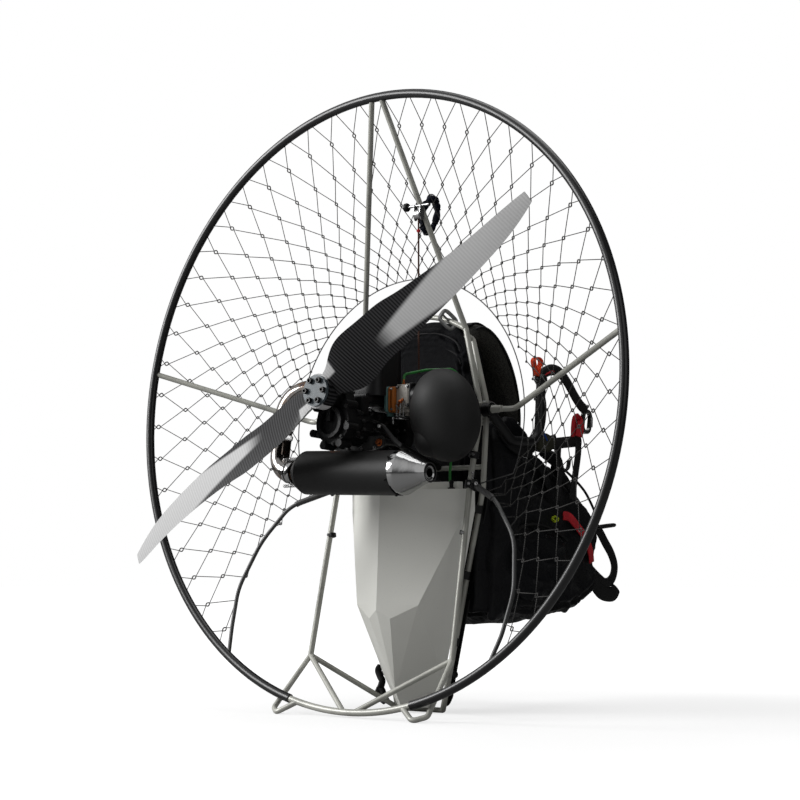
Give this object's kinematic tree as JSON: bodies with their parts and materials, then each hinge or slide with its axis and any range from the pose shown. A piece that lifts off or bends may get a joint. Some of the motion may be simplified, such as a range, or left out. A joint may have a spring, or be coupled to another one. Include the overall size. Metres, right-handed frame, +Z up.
{
  "type": "paramotor",
  "caption": "Back-carried propeller unit for a paraglider, with a round safety hoop, tube frame, engine, fuel tank, seat harness and pivoting hang arms.",
  "frame": {"origin": "on the floor, at the middle of the unit's width, below the centre of the safety hoop", "axes": "+X to the pilot's right, +Y the way the pilot faces (from the propeller to the harness), +Z up"},
  "size_m": [1.3998, 0.9062, 1.3985],
  "materials": {
    "base_arc": "warm grey powder coat",
    "blade": "lacquered carbon",
    "chrome": "polished",
    "cord": "woven",
    "engine": "black coated casting",
    "exhaust_black": "satin heat-proof black",
    "fabric": "woven",
    "frame": "warm titanium grey powder coat",
    "hoop": "satin powder coat",
    "hose": "smooth flexible",
    "machined": "machined",
    "shroud": "black moulded",
    "steel": "polished",
    "strut": "satin dark powder coat",
    "tank": "pale moulded plastic",
    "webbing": "webbing"
  },
  "bodies": {
    "frame": {"airbox": "shroud", "airbox_lobe": "shroud", "base_arc": "base_arc", "base_braces": "frame", "carburettor": "engine", "cooling_shroud": "shroud", "crankcase": "engine", "cross_tubes": "frame", "cylinder": "engine", "engine_mounts": "engine", "exhaust_header": "exhaust_black", "feet": "frame", "foot_bar": "frame", "fuel_cap": "shroud", "fuel_hose": "hose", "fuel_tank": "tank", "gearbox": "engine", "harness_back": "fabric", "harness_loops": "fabric", "harness_seat": "fabric", "harness_sides": "fabric", "hoop_lower_left": "hoop", "hoop_lower_right": "hoop", "hoop_upper_left": "hoop", "hoop_upper_right": "hoop", "lower_bows": "strut", "lower_sockets": "frame", "mount_plate": "engine", "muffler": "exhaust_black", "muffler_end_cone": "chrome", "shoulder_pads": "fabric", "side_nodes": "frame", "side_struts": "frame", "skids": "frame", "starter_cord": "cord", "starter_handle": "webbing", "starter_housing": "engine", "starter_pulley": "machined", "top_bow": "frame", "top_struts": "frame", "uprights_front": "frame", "uprights_rear": "frame"},
    "propeller": {"propeller": "blade", "hub_plate": "machined", "prop_flange": "machined"},
    "arm_right": {"arm_right": "frame", "hang_strap_right": "webbing", "carabiner_right": "steel"},
    "arm_left": {"arm_left": "frame", "hang_strap_left": "webbing", "carabiner_left": "steel"}
  },
  "joints": [
    {"name": "propeller_spin", "type": "hinge", "parent": "frame", "child": "propeller", "pos_m": [0, -0.137, 0.70352], "axis": [0, 0.9979, -0.0654], "continuous": true},
    {"name": "arm_right_pivot", "type": "hinge", "parent": "frame", "child": "arm_right", "pos_m": [0.236, 0.15, 0.67102], "axis": [1, 0, 0], "range_deg": [0, 30]},
    {"name": "arm_left_pivot", "type": "hinge", "parent": "frame", "child": "arm_left", "pos_m": [-0.236, 0.15, 0.67102], "axis": [1, 0, 0], "range_deg": [0, 30]}
  ]
}
